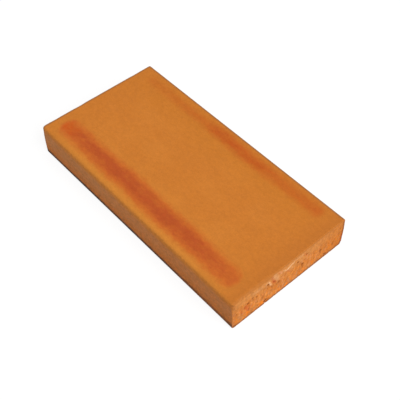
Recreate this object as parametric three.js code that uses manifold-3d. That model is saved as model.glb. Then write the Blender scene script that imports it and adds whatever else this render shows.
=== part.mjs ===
// Thin solid clay brick: a column of clay pressed through a die, cut across by a wire and fired.
// Millimetres, +Z up. The origin is the centre of the bed, the face that the brick lies on.
// +X runs along the length from one wire-cut end to the other, and +Y across the width.
import Module from "manifold-3d";
import * as THREE from "three";
import { mergeVertices } from "three/addons/utils/BufferGeometryUtils.js";

// The brick over all.
const length = 220; // from one wire-cut end to the other
const width = 110; // across the long sides at mid-height, where they swell most
const thickness = 30; // from the bed to the upper face

// What the die leaves along the column.
const arrisRadius = 2.2; // the four long arrises
const sideBelly = 0.4; // how far a long side swells from its edges to its mid-height

// What the wire leaves at the two cuts, which it makes from the upper face down.
const wireEntryRadius = 1; // the upper arris, where the wire drags the skin down with it
const wireExitRadius = 0.5; // the lower arris, where it breaks out
const offcutLength = thickness; // the clay beyond each cut, which the wire takes off

// How finely the curves are faceted.
const arrisFacets = 8; // on each long arris
const bellyFacets = 9; // on each long side, an odd number so that the middle one stands upright
const wireFacets = 6; // on each round of a cut

const along = new THREE.Vector3(1, 0, 0);
const across = new THREE.Vector3(0, 1, 0);
const up = new THREE.Vector3(0, 0, 1);

const wasm = await Module();
wasm.setup();

// Points of a circular arc, from one angle to another, both ends included.
function arcPoints(centre, radius, fromAngle, toAngle, facets) {
  return Array.from({ length: facets + 1 }, (_, step) => {
    const angle = fromAngle + ((toAngle - fromAngle) * step) / facets;
    const spoke = new THREE.Vector2(Math.cos(angle), Math.sin(angle));
    return spoke.multiplyScalar(radius).add(centre);
  });
}

// The right-hand half of the section, from the bed up to the face: arris, bellied side, arris.
// The belly is one arc, at full width at mid-height and sideBelly short of it where its line would
// meet the bed and the face. Each arris arc touches that arc from inside and runs out level.
function halfSection() {
  const halfThickness = thickness / 2;
  const bellyRadius = (halfThickness ** 2 + sideBelly ** 2) / (2 * sideBelly);
  const bellyCentre = new THREE.Vector2(width / 2 - bellyRadius, halfThickness);

  const centreDistance = bellyRadius - arrisRadius;
  const tangentAngle = Math.asin((halfThickness - arrisRadius) / centreDistance);
  const arrisAcross = bellyCentre.x + centreDistance * Math.cos(tangentAngle);
  const bedArris = new THREE.Vector2(arrisAcross, arrisRadius);
  const faceArris = new THREE.Vector2(arrisAcross, thickness - arrisRadius);

  // The belly's facets touch its arc at their middles, so the upright one stands at full width.
  const facetedRadius = bellyRadius / Math.cos(tangentAngle / bellyFacets);
  const belly = arcPoints(bellyCentre, facetedRadius, -tangentAngle, tangentAngle, bellyFacets);
  return [
    ...arcPoints(bedArris, arrisRadius, -Math.PI / 2, -tangentAngle, arrisFacets),
    ...belly.slice(1, -1),
    ...arcPoints(faceArris, arrisRadius, tangentAngle, Math.PI / 2, arrisFacets),
  ];
}

// The section of the column, with the width along its x and the thickness along its y.
function columnSection() {
  const right = halfSection();
  const left = right.map((point) => new THREE.Vector2(-point.x, point.y)).reverse();
  return new THREE.Shape([...right, ...left]);
}

// The side view of the clay that one cut takes off, with the length along its x. Its inner edge is
// the wire's path: over the upper arris, straight down the cut end and out under the lower arris.
function offcutSection() {
  const cut = length / 2;
  const outer = cut + 2 * offcutLength;
  const above = thickness + offcutLength;
  const below = -offcutLength;
  const entry = new THREE.Vector2(cut - wireEntryRadius, thickness - wireEntryRadius);
  const exit = new THREE.Vector2(cut - wireExitRadius, wireExitRadius);
  return new THREE.Shape([
    new THREE.Vector2(exit.x, below),
    new THREE.Vector2(outer, below),
    new THREE.Vector2(outer, above),
    new THREE.Vector2(entry.x, above),
    ...arcPoints(entry, wireEntryRadius, Math.PI / 2, 0, wireFacets),
    ...arcPoints(exit, wireExitRadius, 0, -Math.PI / 2, wireFacets),
  ]);
}

// A section extruded to both sides of its own plane. Its x and y are laid along the two given axes.
function extruded(section, depth, xAxis, yAxis) {
  const geometry = new THREE.ExtrudeGeometry(section, { depth, bevelEnabled: false });
  const direction = new THREE.Vector3().crossVectors(xAxis, yAxis);
  geometry.translate(0, 0, -depth / 2);
  return geometry.applyMatrix4(new THREE.Matrix4().makeBasis(xAxis, yAxis, direction));
}

function toSolid(geometry) {
  geometry.deleteAttribute("normal");
  geometry.deleteAttribute("uv");
  const merged = mergeVertices(geometry);
  return new wasm.Manifold(
    new wasm.Mesh({
      numProp: 3,
      vertProperties: merged.attributes.position.array,
      triVerts: new Uint32Array(merged.index.array),
    }),
  );
}

function toGeometry(solid) {
  const { vertProperties, triVerts } = solid.getMesh();
  const geometry = new THREE.BufferGeometry();
  geometry.setAttribute("position", new THREE.BufferAttribute(vertProperties, 3));
  geometry.setIndex(new THREE.BufferAttribute(triVerts, 1));
  geometry.computeVertexNormals();
  return geometry;
}

// The column, pressed out longer than the brick, less the offcut beyond the wire at each end.
function brickGeometry() {
  const column = extruded(columnSection(), length + 2 * offcutLength, across, up);
  const offcut = extruded(offcutSection(), width + 2 * offcutLength, along, up);
  const turned = offcut.clone().rotateZ(Math.PI);
  return toGeometry(toSolid(column).subtract(toSolid(offcut)).subtract(toSolid(turned)));
}

const firedClay = new THREE.MeshStandardMaterial({
  name: "fired_clay",
  color: 0xc87a32,
  roughness: 0.85,
  metalness: 0,
});

const brick = new THREE.Mesh(brickGeometry(), firedClay);
brick.name = "brick";

const clayBrick = new THREE.Group();
clayBrick.name = "clay_brick";
clayBrick.add(brick);

export default clayBrick;
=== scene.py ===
import math

import bpy
import numpy as np
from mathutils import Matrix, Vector, noise


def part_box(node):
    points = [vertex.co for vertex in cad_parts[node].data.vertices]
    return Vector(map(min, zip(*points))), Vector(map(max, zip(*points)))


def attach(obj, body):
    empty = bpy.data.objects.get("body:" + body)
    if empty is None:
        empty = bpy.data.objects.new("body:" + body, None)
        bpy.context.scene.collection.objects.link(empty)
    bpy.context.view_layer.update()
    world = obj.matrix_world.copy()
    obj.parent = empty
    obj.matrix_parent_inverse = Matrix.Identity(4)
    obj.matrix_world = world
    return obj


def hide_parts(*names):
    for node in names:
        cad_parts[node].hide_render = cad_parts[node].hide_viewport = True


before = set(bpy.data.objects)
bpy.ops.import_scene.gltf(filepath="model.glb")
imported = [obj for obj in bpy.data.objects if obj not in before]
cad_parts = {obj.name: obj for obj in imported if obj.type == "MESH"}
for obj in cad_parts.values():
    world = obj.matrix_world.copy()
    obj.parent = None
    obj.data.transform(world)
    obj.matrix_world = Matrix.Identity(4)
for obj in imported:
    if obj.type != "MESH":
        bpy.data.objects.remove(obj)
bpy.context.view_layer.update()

MM = 0.001

# ---------------------------------------------------------------------------------------------
# The brick's form, in metres, in the CAD frame: length along X, width along Y, bed at z = 0.
# The die presses out the long faces and their arrises. A wire cuts the two ends from the upper
# face down: it rounds the upper arris, drags some skin over it and tears the clay below.
# ---------------------------------------------------------------------------------------------

low, high = (np.array(corner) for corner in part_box("brick"))
half_length, half_width, half_thickness = (high - low) / 2
middle = (high + low) / 2

# As the CAD part has them.
arris_radius = 2.2 * MM
side_belly = 0.4 * MM
wire_entry_radius = 1 * MM
wire_exit_radius = 0.5 * MM
corner_radius = 0.35 * MM  # the upright corners, where the wire meets the long sides
crumbled_radius = 0.7 * MM  # how much rounder a lower arris is where it crumbled most

# The depths below the upper face and the heights above the bed between which the rounding of the
# cuts' arrises runs out into the upright corners.
upper_run_out = (14 * MM, 3 * MM)
lower_run_out = (4 * MM, 2 * MM)

# On the front end the wire left the upper arris soft, and pulled its skin down, over one stretch.
# Places on a cut end are given from its near upright corner and down from the upper face.
soft_middle = 16 * MM
soft_reach = 34 * MM
soft_radius = 2.2 * MM  # how much rounder the arris is in the middle of that stretch
skin_over_arris = 1.5 * MM  # how far down the skin reaches on the whole

# Where the skin reaches less far or further on the front end: the place, how far that goes to
# both sides of it, and how much further down the skin reaches there.
skin_shifts = [
    (12 * MM, 13 * MM, -1.8 * MM),
    (31 * MM, 10 * MM, 1.0 * MM),
]

# The spacing of the mesh: fine at the arrises, coarser in the middle of a face.
finest = np.array([0.22, 0.24, 0.24]) * MM
coarsest = np.array([3.4, 0.46, 0.40]) * MM
growth = np.array([0.22, 0.10, 0.10])
projections = 4  # how often the points of the lattice are moved onto the brick's form


def graded_places(half, fine, coarse, rate):
    """Places from -half to half, close together near both ends and further apart between them."""
    inward = [0.0]
    while inward[-1] < half:
        inward.append(inward[-1] + min(coarse, fine + rate * inward[-1]))
    inward = np.array(inward) * half / inward[-1]
    return np.concatenate([inward - half, half - inward[-2::-1]])


def box_lattice(places):
    """The surface of a box as a grid of quads: its points, and the four points of each quad."""
    counts = [len(p) for p in places]
    number = {}
    points, quads = [], []

    def point(index):
        if index not in number:
            number[index] = len(points)
            points.append([places[axis][index[axis]] for axis in range(3)])
        return number[index]

    for normal in range(3):
        u, v = (normal + 1) % 3, (normal + 2) % 3
        for layer in (0, counts[normal] - 1):
            for i in range(counts[u] - 1):
                for j in range(counts[v] - 1):
                    corners = []
                    for a, b in ((i, j), (i + 1, j), (i + 1, j + 1), (i, j + 1)):
                        index = [0, 0, 0]
                        index[normal], index[u], index[v] = layer, a, b
                        corners.append(point(tuple(index)))
                    quads.append(corners if layer else corners[::-1])
    return np.array(points), quads


def smooth_step(value, start, end):
    """0 up to start, 1 from end on, and a smooth rise between them, or a fall if end is lower."""
    share = np.clip((value - start) / (end - start), 0, 1)
    return share * share * (3 - 2 * share)


def hump(value, centre, reach):
    """1 at the centre, and down smoothly to 0 at reach to both sides of it."""
    return np.clip(1 - ((value - centre) / reach) ** 2, 0, 1) ** 2


def noise_at(points, size, seed):
    """Perlin noise, about -1 to 1, with features of a size that is one number or one an axis."""
    scaled = points / np.array(size) + seed
    return np.array([noise.noise(p) for p in scaled.tolist()])


def rounded_corner(a, b, radius):
    """Signed distance to the corner where two distances meet, rounded to a radius."""
    a, b = a + radius, b + radius
    return np.hypot(np.maximum(a, 0), np.maximum(b, 0)) + np.minimum(np.maximum(a, b), 0) - radius


def on_cut_end(points):
    """Where points lie on a cut end: from its near corner, and down from the upper face."""
    return points[:, 1] - low[1], high[2] - points[:, 2]


def softened(from_corner, front):
    """How soft the wire left the upper arris, 0 to 1. Only the front end has the stretch."""
    return front * hump(from_corner, soft_middle, soft_reach)


def cut_arris_radius(points):
    """How round the arrises of the two cuts are at each point."""
    front = points[:, 0] > middle[0]
    from_corner, depth = on_cut_end(points)
    height = points[:, 2] - low[2]

    worn = np.clip(noise_at(points, 9 * MM, 3.7), 0, 1)
    crumbled = np.clip(noise_at(points, 2.2 * MM, 8.1), 0, 1)
    entry = wire_entry_radius * (0.7 + 0.6 * worn) + soft_radius * softened(from_corner, front)
    leaving = wire_exit_radius + crumbled_radius * crumbled

    upper = smooth_step(depth, *upper_run_out)
    lower = smooth_step(height, *lower_run_out)
    return corner_radius + upper * (entry - corner_radius) + lower * (leaving - corner_radius)


def form_distance(points, cut_radius):
    """Signed distance from the brick's own surface, before its relief."""
    x, y, z = (points - middle).T
    swell = side_belly * (z / half_thickness) ** 2
    past_side = np.abs(y) + swell - half_width
    past_face = np.abs(z) - half_thickness
    past_cut = np.abs(x) - half_length
    return rounded_corner(rounded_corner(past_side, past_face, arris_radius), past_cut, cut_radius)


def form_normals(points, cut_radius):
    """The outward direction of the form at each point, from slopes of the distance to it."""
    step = 0.01 * MM
    slopes = []
    for axis in range(3):
        shift = np.zeros(3)
        shift[axis] = step
        ahead = form_distance(points + shift, cut_radius)
        behind = form_distance(points - shift, cut_radius)
        slopes.append((ahead - behind) / (2 * step))
    slopes = np.array(slopes).T
    return slopes / np.linalg.norm(slopes, axis=1, keepdims=True)


# ---------------------------------------------------------------------------------------------
# The relief of the cut ends, which only ever goes inward from the plane of the cut.
# ---------------------------------------------------------------------------------------------

cut_inset = 0.3 * MM  # how far the ends' mean surface lies inside the brick's full length
skin_step = 0.15 * MM  # how far the dragged skin stands above the bare clay
skin_edge = 1.3 * MM  # how far the skin thins out to both sides of its end
skin_wander = 0.5 * MM  # how far the skin's end goes up and down
smear_reach = 9.5 * MM  # how far down the clay is smeared on the whole
smear_wander = 5 * MM
smear_fade_below = 4 * MM  # how far below the smear's end it fades out
smear_fade_above = 3 * MM  # how far above the smear's end it starts to fade

wave_height = 0.15 * MM
streak_height = 0.20 * MM
torn_height = 0.48 * MM
crumb_height = 0.16 * MM
ridge_height = 0.35 * MM  # how far a pale ridge stands up
tear_depth = 1.6 * MM
tear_threshold = 0.42  # how strong the noise is from which it tears the clay
tear_darkness = 1.8  # how soon a tear takes a pit's colour
full_pit = 0.6 * MM  # how deep a pit is from which its colour is full
tail_share = 0.45  # how deep the streak drawn from a pit starts, against the pit

# The heights above the bed between which the relief grows calm, and how much of it goes.
calm_run_out = (2.4 * MM, 0.6 * MM)
calm_share = 0.7

# How far a point faces along X where it belongs to a cut end at all, and the two such values
# between which the relief and the marks come in.
least_facing = 0.02
relief_facing = (0.05, 0.8)
marks_facing = (0.35, 0.6)

# Each end's seed, the seed of its small pits, and how many of those it has.
front_seed, front_pit_seed, front_pit_count = 31.0, 5, 26
back_seed, back_pit_seed, back_pit_count = 57.0, 11, 36

# Pits on the front end, in mm: from the near corner, down from the upper face,
# radius, depth, and the length of the streak that the wire drew from the pit.
front_pits = [
    (32.8, 8.3, 1.3, 1.3, 0.0),
    (62.4, 9.8, 1.3, 1.4, 1.5),
    (14.4, 12.4, 1.3, 1.2, 2.0),
    (86.4, 17.2, 1.1, 1.2, 2.5),
    (39.2, 9.8, 1.2, 0.7, 2.0),
    (31.4, 26.0, 1.6, 1.2, 0.0),
    (24.6, 25.2, 0.9, 1.0, 1.0),
    (22.8, 12.4, 1.0, 1.0, 2.5),
    (18.9, 10.2, 1.1, 0.4, 2.0),
    (92.0, 26.6, 1.3, 0.9, 0.0),
    (102.9, 3.8, 0.8, 0.5, 0.0),
    (105.8, 8.4, 0.8, 0.6, 1.0),
    (43.8, 15.0, 1.1, 0.9, 6.5),
    (67.4, 16.0, 1.0, 0.9, 8.0),
    (4.2, 15.5, 1.0, 0.5, 5.0),
    (70.9, 7.6, 0.9, 0.5, 0.0),
]

# Marks on the front end, in mm: where a stroke starts and where it stops, each from
# the near corner and down from the upper face, half its width, and its strength from 0 to 1.
pale_strokes = [
    (45.0, 6.4, 47.8, 5.4, 0.7, 0.4),
    (47.8, 5.4, 51.0, 7.6, 0.6, 0.6),
    (51.0, 7.6, 53.8, 6.4, 0.85, 1.0),
    (53.8, 6.4, 57.4, 4.6, 0.9, 0.95),
    (44.2, 3.8, 46.0, 6.6, 0.9, 0.5),
    (57.4, 4.6, 66.6, 4.2, 1.0, 0.3),
    (30.6, 7.0, 31.2, 5.0, 0.5, 0.45),
    (31.2, 5.0, 33.4, 5.0, 0.6, 0.5),
    (33.6, 5.7, 36.0, 10.8, 0.9, 0.75),
    (39.0, 3.6, 41.5, 8.5, 2.5, 0.36),
    (40.5, 6.0, 43.0, 11.0, 1.7, 0.22),
    (19.0, 5.2, 26.5, 6.2, 1.2, 0.2),
    (52.5, 9.9, 56.0, 9.3, 1.0, 0.2),
]
rusty_strokes = [
    (37.6, 7.9, 40.0, 11.5, 1.3, 0.9),
    (36.4, 2.4, 37.4, 6.9, 0.9, 0.45),
    (43.4, 4.0, 45.8, 5.4, 1.1, 0.5),
    (12.4, 14.0, 14.8, 20.0, 1.3, 0.85),
    (7.4, 13.8, 8.6, 18.8, 1.1, 0.35),
    (14.4, 14.4, 18.8, 19.4, 0.9, 0.45),
    (68.4, 5.2, 71.4, 8.8, 1.3, 0.35),
    (108.4, 17.0, 109.2, 26.0, 1.2, 0.7),
    (51.4, 8.8, 53.9, 11.8, 1.0, 0.4),
]


def small_pits(seed, count):
    """Small pits in the torn part of a cut end, as front_pits lists them."""
    random = np.random.RandomState(seed)
    place = random.uniform(3, 107, count)
    depth_below = 29 - 22 * random.uniform(0, 1, count) ** 1.5
    radius = random.uniform(0.35, 0.75, count)
    depth = radius * random.uniform(0.5, 0.9, count)
    streak = random.uniform(0, 4, count)
    return list(zip(place, depth_below, radius, depth, streak))


def end_noise(points, across, down, seed):
    """Noise over a cut end, with features of the given sizes in mm across it and down it."""
    return noise_at(points, (1, across * MM, down * MM), seed)


def jogged(points, seed, size, reach):
    """Where points lie on a cut end, jogged by noise, so that what is looked up is ragged.

    The noise's size and how far it moves a point are in mm.
    """
    from_corner, depth = on_cut_end(points)
    return (
        from_corner + reach * MM * end_noise(points, size, size, seed),
        depth + reach * MM * end_noise(points, size, size, seed + 5),
    )


def pitted(from_corner, depth, pits):
    """The depth of a list of pits at each point, in metres."""
    sunk = np.zeros(len(depth))
    for place, below, radius, deep, streak in pits:
        aside = (from_corner - place * MM) / (radius * MM)
        down = (depth - below * MM) / (radius * MM)
        bowl = np.sqrt(np.clip(1 - aside**2 - down**2, 0, 1))
        narrow = np.clip(1 - (1.3 * aside) ** 2, 0, 1)
        pulled = smooth_step(down, streak / radius + 0.01, 0) * (down > 0) * narrow
        sunk = np.maximum(sunk, deep * MM * np.maximum(bowl, tail_share * pulled))
    return sunk


def stroked(from_corner, depth, strokes):
    """The strength of a list of strokes at each point, 0 to 1, soft at their edges."""
    strength = np.zeros(len(depth))
    for start, start_below, stop, stop_below, half_stroke, strongest in strokes:
        along, down = (stop - start) * MM, (stop_below - start_below) * MM
        aside, below = from_corner - start * MM, depth - start_below * MM
        share = np.clip((aside * along + below * down) / (along**2 + down**2), 0, 1)
        away = np.hypot(aside - share * along, below - share * down)
        strength = np.maximum(strength, strongest * hump(away, 0, 1.6 * half_stroke * MM))
    return strength


def end_marks(points, seed, front):
    """What colours one cut end: its shares of skin, smear, paleness and rust at each point."""
    from_corner, depth = on_cut_end(points)
    across_only = points * np.array([0.0, 1.0, 0.0])

    # The skin that the wire dragged over the arris, and the clay that it smeared below.
    ragged = noise_at(across_only, 3.5 * MM, seed)
    ragged += 0.5 * noise_at(across_only, 1.1 * MM, seed + 9)
    skin_end = skin_over_arris + skin_wander * ragged
    for place, reach, shift in skin_shifts:
        skin_end += front * shift * hump(from_corner, place, reach)
    skin = smooth_step(depth - skin_end, skin_edge, -skin_edge)
    smear_end = smear_reach + smear_wander * end_noise(points, 7, 14, seed + 21)
    smear = smooth_step(depth, smear_end + smear_fade_below, smear_end - smear_fade_above)

    # Pale ridges and rusty spots. The back end has its own, which come and go.
    if front:
        broken = smooth_step(end_noise(points, 1.4, 1.1, seed + 18), -0.5, 0.2)
        pale = stroked(*jogged(points, seed + 37, 2.6, 0.7), pale_strokes)
        pale = pale * (0.78 + 0.22 * broken)
        rust = stroked(*jogged(points, seed + 39, 2.0, 0.8), rusty_strokes)
    else:
        patches = np.clip(1.6 * noise_at(across_only, 6 * MM, seed + 15), 0, 1)
        pale = 0.7 * patches * hump(depth, 2.6 * MM + 1.1 * MM * ragged, 0.9 * MM)
        rust = 2.4 * end_noise(points, 5, 8, seed + 33) - 0.7
        rust = np.clip(rust + 0.7 * end_noise(points, 1.4, 2.0, seed + 35), 0, 0.6)
    return {"skin": skin, "smear": smear, "pale": pale, "rust": rust}


def end_relief(points, seed, pits, marks):
    """The height of one cut end over its mean surface, and its share of painted pit shade, at each
    point.
    """
    waves = wave_height * end_noise(points, 22, 15, seed + 2)
    streaks = streak_height * end_noise(points, 1.8, 9, seed + 4)
    torn = torn_height * end_noise(points, 3.2, 4.4, seed + 6)
    torn += crumb_height * end_noise(points, 1.2, 1.9, seed + 8)
    tears = np.clip(end_noise(points, 2.0, 5.5, seed + 12) - tear_threshold, 0, 1)
    sunk = pitted(*jogged(points, seed + 41, 1.5, 0.65), pits)

    bare = 1 - marks["skin"]
    rough = (1 - 0.6 * marks["smear"]) * bare
    height = waves + (0.35 + 0.65 * rough) * streaks
    height = height + rough * (torn - tear_depth * tears) - sunk
    height *= 1 - calm_share * smooth_step(points[:, 2] - low[2], *calm_run_out)
    height += ridge_height * marks["pale"] - skin_step * bare
    # How dark a pit or tear is painted: painted shade in the hollow.
    pit_shade = np.clip(sunk / full_pit + tear_darkness * rough * tears, 0, 1)
    return height, pit_shade


def brick_mesh():
    """The brick: a box lattice moved onto its form, with the relief and marks of its cut ends."""
    places = [
        graded_places(half, fine, coarse, rate)
        for half, fine, coarse, rate in zip(
            (half_length, half_width, half_thickness), finest, coarsest, growth
        )
    ]
    points, quads = box_lattice(places)
    points = points + middle
    cut_radius = cut_arris_radius(points)
    for _ in range(projections):
        distance = form_distance(points, cut_radius)
        points = points - form_normals(points, cut_radius) * distance[:, None]
    normals = form_normals(points, cut_radius)

    # Away from the cut ends all is skin, without any mark.
    plain = {"skin": 1.0, "smear": 0.0, "pale": 0.0, "rust": 0.0, "pit_shade": 0.0}
    marks = {name: np.full(len(points), value) for name, value in plain.items()}
    lift = np.zeros(len(points))
    for facing, seed, pits in (
        (1, front_seed, front_pits + small_pits(front_pit_seed, front_pit_count)),
        (-1, back_seed, small_pits(back_pit_seed, back_pit_count)),
    ):
        chosen = np.flatnonzero(normals[:, 0] * facing > least_facing)
        turned = normals[chosen, 0] * facing
        on_end = end_marks(points[chosen], seed, facing > 0)
        height, on_end["pit_shade"] = end_relief(points[chosen], seed, pits, on_end)
        inward = np.minimum(height - cut_inset, 0)
        lift[chosen] = smooth_step(turned, *relief_facing) * inward
        cut = smooth_step(turned, *marks_facing)
        for name, value in on_end.items():
            marks[name][chosen] = plain[name] + cut * (value - plain[name])
    points = points + normals * lift[:, None]

    mesh = bpy.data.meshes.new("brick_body")
    mesh.from_pydata(points.tolist(), [], quads)
    mesh.polygons.foreach_set("use_smooth", [True] * len(mesh.polygons))
    facings = {
        "end": np.abs(normals[:, 0]),
        "side": np.abs(normals[:, 1]),
        "upper": normals[:, 2],
    }
    for name, values in (marks | facings).items():
        mesh.attributes.new(name, "FLOAT", "POINT").data.foreach_set("value", values)
    mesh.update()
    return mesh


brick = bpy.data.objects.new("brick_body", brick_mesh())
bpy.context.scene.collection.objects.link(brick)
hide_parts("brick")
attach(brick, "root")

# ---------------------------------------------------------------------------------------------
# The clay.
# ---------------------------------------------------------------------------------------------


def srgb(red, green, blue):
    """A colour given as it shows on a screen, 0 to 255, in the linear numbers of Blender."""
    shares = (red / 255, green / 255, blue / 255)
    linear = (s / 12.92 if s <= 0.04045 else ((s + 0.055) / 1.055) ** 2.4 for s in shares)
    return (*linear, 1.0)


colours = {
    # The upper face and its flash bands.
    "face": srgb(202, 120, 42),
    "face_cloud": srgb(206, 124, 45),
    "face_near_side": srgb(208, 129, 47),
    "face_far_side": srgb(199, 118, 37),
    "face_ends": srgb(200, 118, 40),
    "face_front_end": srgb(192, 112, 40),
    "near_flash": srgb(199, 102, 35),
    "near_flash_deep": srgb(182, 80, 31),
    "near_flash_back_end": srgb(199, 82, 12),
    "far_flash": srgb(189, 84, 20),
    # The long sides and the arrises.
    "side": srgb(200, 129, 72),
    "side_cloud": srgb(204, 134, 77),
    "side_front_end": srgb(201, 123, 64),
    "side_low": srgb(204, 119, 48),
    "side_top": srgb(221, 132, 44),
    "side_rusty": srgb(222, 121, 50),
    "side_sooty": srgb(160, 94, 48),
    # paler near arris: partly wear, partly a painted highlight
    "worn_arris_highlight": srgb(222, 138, 56),
    # painted shade on arrises that turn away from the light
    "painted_arris_shade": srgb(156, 100, 53),
    # painted shade along the lower arrises of the long sides
    "painted_bed_shade": srgb(48, 26, 12),
    # The cut ends.
    # skin dragged over the cut ends' arrises, darkened as painted shade
    "dragged_skin_shade": srgb(180, 108, 42),
    "torn": srgb(196, 116, 46),
    "torn_mottle": srgb(212, 131, 54),
    "smeared": srgb(198, 125, 56),
    "smeared_mottle": srgb(207, 134, 66),
    "dark_streak": srgb(160, 84, 30),
    "pale_streak": srgb(226, 152, 98),
    "bright_grit": srgb(230, 122, 16),
    "dull_grit": srgb(184, 124, 76),
    "end_far_half": srgb(192, 108, 28),
    "end_near_corner": srgb(176, 102, 44),
    # painted shade at the far upright corner and the lower arris of the cut ends
    "end_far_corner_shade": srgb(136, 72, 24),
    "end_bed_shade": srgb(112, 60, 26),
    # painted shade on the cut ends' upper arris, against the light it catches
    "end_upper_arris_shade": srgb(183, 112, 50),
    # pale ridges: paler clay on the lips, with a painted highlight on them
    "pale_ridge_highlight": srgb(238, 184, 134),
    "rusty_spot": srgb(194, 80, 24),
    # painted shade in pits and tears
    "pit_shade": srgb(116, 54, 12),
}


class Graph:
    """Short ways to add the nodes of one material."""

    def __init__(self, tree):
        self.tree = tree

    def fill(self, socket, value):
        """Links a socket to another one, or gives it a plain value."""
        if isinstance(value, bpy.types.NodeSocket):
            self.tree.links.new(value, socket)
        else:
            socket.default_value = value

    def add(self, kind, inputs=None, **settings):
        node = self.tree.nodes.new(kind)
        for name, value in settings.items():
            setattr(node, name, value)
        for key, value in (inputs or {}).items():
            self.fill(node.inputs[key], value)
        return node

    def math(self, operation, first, *others):
        """One operation on two values, or on more from left to right."""
        result = first
        for other in others:
            inputs = {0: result, 1: other}
            result = self.add("ShaderNodeMath", inputs, operation=operation).outputs[0]
        return result

    def product(self, *values):
        return self.math("MULTIPLY", *values)

    def total(self, *values):
        return self.math("ADD", *values)

    def difference(self, *values):
        return self.math("SUBTRACT", *values)

    def larger(self, *values):
        return self.math("MAXIMUM", *values)

    def absolute(self, value):
        return self.add("ShaderNodeMath", {0: value}, operation="ABSOLUTE").outputs[0]

    def step(self, value, start, end, low_value=0.0, high_value=1.0):
        """low_value up to start, high_value from end on, and smooth between them."""
        inputs = {
            "Value": value,
            "From Min": start,
            "From Max": end,
            "To Min": low_value,
            "To Max": high_value,
        }
        return self.add("ShaderNodeMapRange", inputs, interpolation_type="SMOOTHSTEP").outputs[0]

    def mix(self, share, first, second, blend="MIX"):
        """The first colour where share is 0, the second where it is 1."""
        node = self.add("ShaderNodeMix", data_type="RGBA", blend_type=blend)
        for index, value in ((0, share), (6, first), (7, second)):
            self.fill(node.inputs[index], value)
        return node.outputs[2]

    def tinted(self, colour, share, name):
        """A colour turned towards the named one by a share."""
        return self.mix(share, colour, colours[name])

    def attribute(self, name):
        return self.add("ShaderNodeAttribute", attribute_name=name).outputs["Fac"]

    def noise(self, position, size, seed, detail=2.0, roughness=0.5):
        """Noise about 0.5, with features of the given size in mm along each axis."""
        stretch = {
            "Vector": position,
            "Location": (seed, seed, seed),
            "Scale": tuple(1 / s for s in size),
        }
        inputs = {
            "Vector": self.add("ShaderNodeMapping", stretch).outputs[0],
            "Scale": 1.0,
            "Detail": detail,
            "Roughness": roughness,
        }
        return self.add("ShaderNodeTexNoise", inputs).outputs[0]


class ClayGraph(Graph):
    """The clay's nodes, with what several of them start from.

    That is where each point lies and how far it is from three of the faces, in mm, its marks,
    which way it faces, and three noises.
    """

    def __init__(self, tree):
        super().__init__(tree)
        in_mm = {0: self.add("ShaderNodeTexCoord").outputs["Object"], "Scale": 1 / MM}
        self.position = self.add("ShaderNodeVectorMath", in_mm, operation="SCALE").outputs[0]
        self.x, self.y, self.z = self.add("ShaderNodeSeparateXYZ", {0: self.position}).outputs
        self.from_top = self.difference(high[2] / MM, self.z)
        self.from_side = self.difference(high[1] / MM, self.absolute(self.y))
        self.from_back = self.difference(self.x, low[0] / MM)

        self.skin = self.attribute("skin")
        self.smear = self.attribute("smear")
        self.pale = self.attribute("pale")
        self.rust = self.attribute("rust")
        self.pit_shade = self.attribute("pit_shade")
        self.end = self.attribute("end")
        self.side = self.attribute("side")
        self.upper = self.attribute("upper")

        self.clouds = self.noise(self.position, (34, 22, 22), seed=0.0, detail=3)
        self.mottle = self.noise(self.position, (5.5, 4.0, 4.0), seed=3.0, detail=3)
        self.grain = self.noise(self.position, (0.9, 0.8, 0.8), seed=7.0)

    def swing(self, size, seed, reach, detail=2.0):
        """Noise that goes about half of reach to both sides of 0."""
        about_half = self.noise(self.position, size, seed, detail)
        return self.product(self.difference(about_half, 0.5), reach)


def flash_band(clay, across, span, centre, reach, core):
    """A long soft patch on the upper face, 0 to 1, full within core of its centre line.

    It is gone at reach to both sides of that line. It spans two places on x, each given with how
    far it takes to fade there.
    """
    bluntness = 0.04  # how much shorter it is away from its centre line
    aside = clay.absolute(clay.difference(across, centre))
    rounding = clay.product(aside, aside, bluntness)
    (start, start_fade), (end, end_fade) = span
    from_start = clay.difference(clay.x, rounding)
    from_end = clay.total(clay.x, rounding)
    lengthwise = clay.product(
        clay.step(from_start, start - start_fade, start + start_fade),
        clay.step(from_end, end + end_fade, end - end_fade),
    )
    return clay.product(clay.step(aside, reach, core), lengthwise)


def flashes(clay):
    """How strong the near and the far flash band are at each point."""
    wander = clay.swing((40, 200, 200), seed=17.0, reach=3.0)
    frayed = clay.swing((5, 3, 3), seed=19.0, reach=4.0)
    lean = 0.008  # how far the near band leans away from the brick's length
    straight = clay.total(clay.y, wander, frayed)
    leaning = clay.total(straight, clay.product(clay.x, lean))

    near_band = flash_band(
        clay, leaning, span=((-101.5, 3.0), (98.5, 3.0)), centre=-40.1, reach=14.4, core=1.0
    )
    near_depth = clay.product(
        clay.step(clay.x, 104.0, 36.0, 0.70, 1.0),
        clay.step(clay.x, -96.0, -30.0, 0.84, 1.0),
    )
    # The far band fades into a fainter and narrower trace in the back half.
    far_band = flash_band(
        clay, straight, span=((-28, 16.0), (96, 3.0)), centre=44.2, reach=9.2, core=0.8
    )
    far_depth = clay.step(clay.x, 60.0, 20.0, 0.59, 0.86)
    far_trace = flash_band(
        clay, straight, span=((-97, 4.0), (-20, 14.0)), centre=43.8, reach=7.6, core=0.5
    )
    trace_depth = clay.step(clay.x, -104.0, -24.0, 0.26, 0.50)

    patches = clay.noise(clay.position, (14, 5, 5), seed=23.0, detail=3)
    flecks = clay.noise(clay.position, (3.6, 2.6, 2.6), seed=71.0, detail=3)
    on_face = clay.product(
        clay.step(patches, 0.3, 0.65, 0.84, 1.04),
        clay.step(flecks, 0.32, 0.68, 0.90, 1.08),
        clay.step(clay.upper, 0.5, 0.9),
    )
    far = clay.larger(clay.product(far_band, far_depth), clay.product(far_trace, trace_depth))
    return clay.product(near_band, near_depth, on_face), clay.product(far, on_face)


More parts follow.
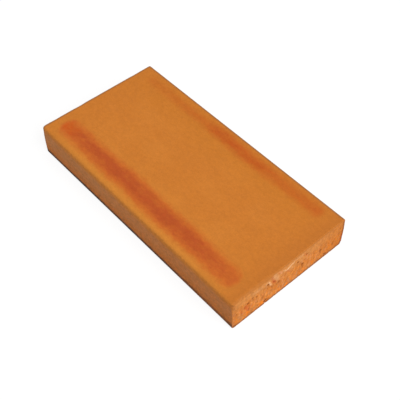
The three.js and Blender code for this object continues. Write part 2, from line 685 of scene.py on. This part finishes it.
def face_colour(clay):
    """The upper face and the bed: plain orange, a little yellower along the near side."""
    x, y = clay.x, clay.y
    colour = clay.mix(clay.step(clay.clouds, 0.35, 0.65), colours["face"], colours["face_cloud"])
    colour = clay.tinted(colour, clay.step(y, -22.0, -54.0), "face_near_side")
    colour = clay.tinted(colour, clay.step(y, 10.0, 40.0, 0.0, 0.8), "face_far_side")
    both_ends = clay.step(clay.absolute(x), 60.0, 108.0, 0.0, 0.7)
    colour = clay.tinted(colour, both_ends, "face_ends")
    colour = clay.tinted(colour, clay.step(x, 90.0, 109.0, 0.0, 0.8), "face_front_end")

    near_flash, far_flash = flashes(clay)
    back_end = clay.step(x, -78.0, -98.0)
    deep = clay.mix(back_end, colours["near_flash_deep"], colours["near_flash_back_end"])
    colour = clay.tinted(colour, clay.step(near_flash, 0.0, 0.62), "near_flash")
    colour = clay.mix(clay.step(near_flash, 0.45, 1.05), colour, deep)
    return clay.tinted(colour, far_flash, "far_flash")


def side_colour(clay):
    """The long sides: greyer than the face, and rusty and speckled towards the bed."""
    x, z = clay.x, clay.z
    colour = clay.mix(clay.step(clay.clouds, 0.35, 0.65), colours["side"], colours["side_cloud"])
    colour = clay.tinted(colour, clay.step(x, -60.0, 40.0, 0.0, 0.6), "side_front_end")
    colour = clay.tinted(colour, clay.step(z, 19.0, 5.0, 0.0, 0.85), "side_low")
    colour = clay.tinted(colour, clay.step(clay.from_top, 7.0, 0.5), "side_top")

    speckles = clay.noise(clay.position, (3.4, 3.0, 3.0), seed=37.0, detail=5, roughness=0.7)
    low_down = clay.step(z, 16.0, 5.0, 0.3, 1.0)
    rusty = clay.product(low_down, clay.step(speckles, 0.50, 0.62, 0.0, 0.7))
    sooty = clay.product(low_down, clay.step(speckles, 0.48, 0.36, 0.0, 0.7))
    colour = clay.tinted(colour, rusty, "side_rusty")
    return clay.tinted(colour, sooty, "side_sooty")


def painted_bed_shade(clay):
    """How dark the lower arrises of the long sides are painted: painted shade where they turn to
    the floor.

    The mark is uneven, weaker towards the front end and much weaker on the far side.
    """
    x, y, z = clay.x, clay.y, clay.z
    height = clay.total(z, clay.swing((5.0, 5.0, 1.6), seed=59.0, reach=4.0, detail=3))
    height = clay.difference(height, clay.step(x, 30.0, 95.0, 0.0, 0.8))
    uneven = clay.noise(clay.position, (17, 40, 40), seed=61.0)
    return clay.product(
        clay.step(height, 7.0, 3.6),
        clay.step(clay.from_side, 3.0, 1.5),
        clay.step(uneven, 0.35, 0.65, 0.85, 1.0),
        clay.step(x, 96.0, 5.0, 0.68, 1.0),
        clay.step(z, 0.2, 1.6, 0.3, 1.0),
        clay.step(y, 0.0, -50.0, 0.4, 1.0),
    )


def skin_colour(clay):
    """The skin that the die left: the face and the sides, and the arrises between them."""
    y = clay.y
    past_arris = clay.difference(clay.from_side, clay.from_top)
    on_side = clay.step(past_arris, -0.8, -7.0)
    colour = clay.mix(on_side, face_colour(clay), side_colour(clay))

    # The near side's upper arris is paler: partly wear, partly a painted highlight along it.
    from_worn = clay.absolute(clay.total(past_arris, 1.0))
    worn = clay.product(clay.step(from_worn, 3.2, 0.5, 0.0, 0.45), clay.step(y, 10.0, -10.0))
    colour = clay.tinted(colour, worn, "worn_arris_highlight")

    # The upper arrises of the far side and the back end, and the back end's upright corners, are
    # painted a little darker: painted shade where they turn away from the light.
    far_arris = clay.product(clay.step(clay.from_side, 3.6, 1.8), clay.step(y, 0.0, 20.0))
    arris_shade = clay.larger(far_arris, clay.step(clay.from_back, 2.8, 1.0))
    arris_shade = clay.product(arris_shade, clay.step(clay.from_top, 3.6, 1.2, 0.0, 0.85))
    arris_shade = clay.larger(arris_shade, clay.step(clay.from_back, 3.2, 0.8, 0.0, 0.4))
    colour = clay.tinted(colour, arris_shade, "painted_arris_shade")

    # Painted shade along the lower arrises of the long sides.
    colour = clay.tinted(colour, painted_bed_shade(clay), "painted_bed_shade")
    # The skin dragged over the cut ends' upper arrises is darker: dragged skin, with painted shade
    # against the light that the rounded arris catches.
    return clay.tinted(colour, clay.step(clay.end, 0.0, 0.4), "dragged_skin_shade")


def end_colour(clay):
    """The cut ends below the skin: smeared and pale above, torn and strongly coloured below."""
    y, z = clay.y, clay.z
    mottled = clay.step(clay.mottle, 0.36, 0.64)
    torn = clay.mix(mottled, colours["torn"], colours["torn_mottle"])
    smeared = clay.mix(mottled, colours["smeared"], colours["smeared_mottle"])
    colour = clay.mix(clay.smear, torn, smeared)

    # Streaks drawn by the wire, and grit, which is liveliest low down and towards the far side.
    streaks = clay.noise(clay.position, (1.0, 1.9, 9.0), seed=29.0)
    grit = clay.noise(clay.position, (1.0, 2.4, 3.2), seed=43.0, detail=3)
    patches = clay.noise(clay.position, (1.0, 13.0, 8.0), seed=47.0, detail=1)
    rough = clay.step(clay.smear, 1.0, 0.0, 0.25, 1.0)
    far_low = clay.product(clay.step(y, 24.0, 40.0), clay.step(z, 20.0, 10.0))
    lower = clay.larger(clay.step(z, 14.0, 4.0), far_low)
    patchy = clay.product(lower, clay.step(patches, 0.40, 0.62, 0.3, 1.0))
    lively = clay.product(rough, clay.total(patchy, 0.25))
    for area, spots, start, end, most, name in (
        (rough, streaks, 0.54, 0.74, 0.55, "dark_streak"),
        (rough, streaks, 0.48, 0.30, 0.5, "pale_streak"),
        (lively, grit, 0.50, 0.60, 0.7, "bright_grit"),
        (lively, grit, 0.46, 0.36, 0.6, "dull_grit"),
    ):
        share = clay.product(area, clay.step(spots, start, end, 0.0, most))
        colour = clay.tinted(colour, share, name)

    # The tone across the end and by its near corner, and painted shade at its far corner and its
    # arrises.
    for along, start, end, most, name in (
        (y, 14.0, 54.0, 0.6, "end_far_half"),
        (y, -49.0, -54.5, 0.5, "end_near_corner"),
        (y, 51.8, 54.5, 0.85, "end_far_corner_shade"),
        (z, 3.4, 1.2, 0.68, "end_bed_shade"),
        (clay.upper, 0.1, 0.65, 1.0, "end_upper_arris_shade"),
    ):
        colour = clay.tinted(colour, clay.step(along, start, end, 0.0, most), name)
    return colour


def grain_shade(clay):
    """What fine grain multiplies the colour by: coarser on torn clay and on the sides."""
    sand = clay.noise(clay.position, (3.4, 2.6, 2.6), seed=53.0, detail=4, roughness=0.65)
    fine = clay.product(
        clay.step(clay.grain, 0.3, 0.7, 0.958, 1.034), clay.step(sand, 0.3, 0.7, 0.952, 1.048)
    )
    coarse = clay.noise(clay.position, (1.9, 1.7, 1.7), seed=67.0)
    bare = clay.difference(1.0, clay.skin)
    coarseness = clay.larger(bare, clay.step(clay.side, 0.5, 0.9, 0.0, 0.75))
    coarse = clay.product(clay.step(coarse, 0.3, 0.7, -0.12, 0.12), coarseness)
    shade = clay.product(fine, clay.total(coarse, 1.0))
    return clay.add("ShaderNodeCombineXYZ", {0: shade, 1: shade, 2: shade}).outputs[0]


def fired_clay():
    """The clay's material."""
    material = bpy.data.materials.new("fired_clay")
    material.use_nodes = True
    clay = ClayGraph(material.node_tree)
    shader = material.node_tree.nodes["Principled BSDF"]
    shader.inputs["Specular IOR Level"].default_value = 0.2

    colour = clay.mix(clay.skin, end_colour(clay), skin_colour(clay))
    # Pale ridges: paler clay along their lips, with a painted highlight on them.
    colour = clay.tinted(colour, clay.pale, "pale_ridge_highlight")
    colour = clay.tinted(colour, clay.product(clay.rust, 0.8), "rusty_spot")
    # Pits and tears are painted darker: painted shade in the hollows.
    colour = clay.tinted(colour, clay.product(clay.pit_shade, 0.9), "pit_shade")
    colour = clay.mix(1.0, colour, grain_shade(clay), "MULTIPLY")
    clay.fill(shader.inputs["Base Color"], colour)
    clay.fill(shader.inputs["Roughness"], clay.step(clay.mottle, 0.3, 0.7, 0.72, 0.86))

    # Bump of grain, and of lines that the die drew along the brick. Both are given in mm.
    grain_height, line_height = 0.05, 0.04
    drawn = clay.noise(clay.position, (60, 1.3, 1.3), seed=11.0)
    height = clay.total(clay.product(clay.grain, grain_height), clay.product(drawn, line_height))
    bump = clay.add("ShaderNodeBump", {"Height": height, "Strength": 1.0, "Distance": MM})
    clay.fill(shader.inputs["Normal"], bump.outputs[0])
    return material


brick.data.materials.append(fired_clay())

# ---------------------------------------------------------------------------------------------
# The studio: a white floor, a soft white surround and one large soft lamp.
# ---------------------------------------------------------------------------------------------

floor_half_side = 4.0
paper_grey = (0.55, 0.55, 0.55, 1)  # what the floor is to the light that falls on the brick
shadow_grey = (0.16, 0.16, 0.16, 1)  # how far a shadow darkens the floor that the camera sees
floor_glow = 0.88  # what that floor adds, so that it shows as white
white = (1, 1, 1, 1)
surround_strength = 0.50  # the light of the surround, which itself shows as white
lamp_side = 3.0
lamp_power = 172
lamp_distance = 4.5
lamp_direction = (0.64, 0.05, 0.57)

floor_corners = [
    (a * floor_half_side, b * floor_half_side, 0) for a, b in ((-1, -1), (1, -1), (1, 1), (-1, 1))
]
floor_mesh = bpy.data.meshes.new("floor")
floor_mesh.from_pydata(floor_corners, [], [(0, 1, 2, 3)])
floor = bpy.data.objects.new("floor", floor_mesh)
bpy.context.scene.collection.objects.link(floor)


def seen_directly(graph):
    """1 for rays from the camera and those that mirrors and glass pass on, 0 for the light's."""
    path = graph.add("ShaderNodeLightPath").outputs
    mirrored = graph.larger(path["Is Glossy Ray"], path["Is Transmission Ray"])
    return graph.larger(path["Is Camera Ray"], mirrored)


def floor_paper():
    """Lights the brick as pale paper does, but shows as white, with the brick's shadow on it."""
    material = bpy.data.materials.new("floor_paper")
    material.use_nodes = True
    graph = Graph(material.node_tree)
    material.node_tree.nodes.clear()
    paper = graph.add("ShaderNodeBsdfDiffuse", {"Color": paper_grey}).outputs[0]
    shadowed = graph.add("ShaderNodeBsdfDiffuse", {"Color": shadow_grey}).outputs[0]
    glow = graph.add("ShaderNodeEmission", {"Color": white, "Strength": floor_glow}).outputs[0]
    pure = graph.add("ShaderNodeAddShader", {0: shadowed, 1: glow}).outputs[0]
    choice = {0: seen_directly(graph), 1: paper, 2: pure}
    shown = graph.add("ShaderNodeMixShader", choice).outputs[0]
    graph.add("ShaderNodeOutputMaterial", {"Surface": shown})
    return material


floor_mesh.materials.append(floor_paper())

world = bpy.data.worlds.new("surround")
bpy.context.scene.world = world
world.use_nodes = True
surround = Graph(world.node_tree)
background = world.node_tree.nodes["Background"]
background.inputs["Color"].default_value = white
strength = surround.step(seen_directly(surround), 0.0, 1.0, surround_strength, 1.0)
surround.fill(background.inputs["Strength"], strength)

lamp_data = bpy.data.lights.new("softbox", "AREA")
lamp_data.shape = "SQUARE"
lamp_data.size = lamp_side
lamp_data.energy = lamp_power
lamp = bpy.data.objects.new("softbox", lamp_data)
bpy.context.scene.collection.objects.link(lamp)
lamp_from = Vector(lamp_direction).normalized() * lamp_distance
lamp.location = lamp_from
lamp.rotation_euler = (-lamp_from).to_track_quat("-Z", "Y").to_euler()

# ---------------------------------------------------------------------------------------------
# The camera, level, looking down on the brick's near corner.
# ---------------------------------------------------------------------------------------------

camera_azimuth = math.radians(48.51)  # 0 looks along +Y
camera_elevation = math.radians(50.59)
camera_distance = 0.5912
camera_aim = Vector((18.9 * MM, -3.5 * MM, 15 * MM))
camera_lens = 71.04
camera_sensor = 36

camera_data = bpy.data.cameras.new("camera")
camera_data.lens = camera_lens
camera_data.sensor_width = camera_sensor
camera = bpy.data.objects.new("camera", camera_data)
bpy.context.scene.collection.objects.link(camera)
back = Vector((
    math.sin(camera_azimuth) * math.cos(camera_elevation),
    -math.cos(camera_azimuth) * math.cos(camera_elevation),
    math.sin(camera_elevation),
))
camera.location = camera_aim + back * camera_distance
camera.rotation_euler = (-back).to_track_quat("-Z", "Y").to_euler()
bpy.context.scene.camera = camera
bpy.context.scene.view_settings.view_transform = "Standard"
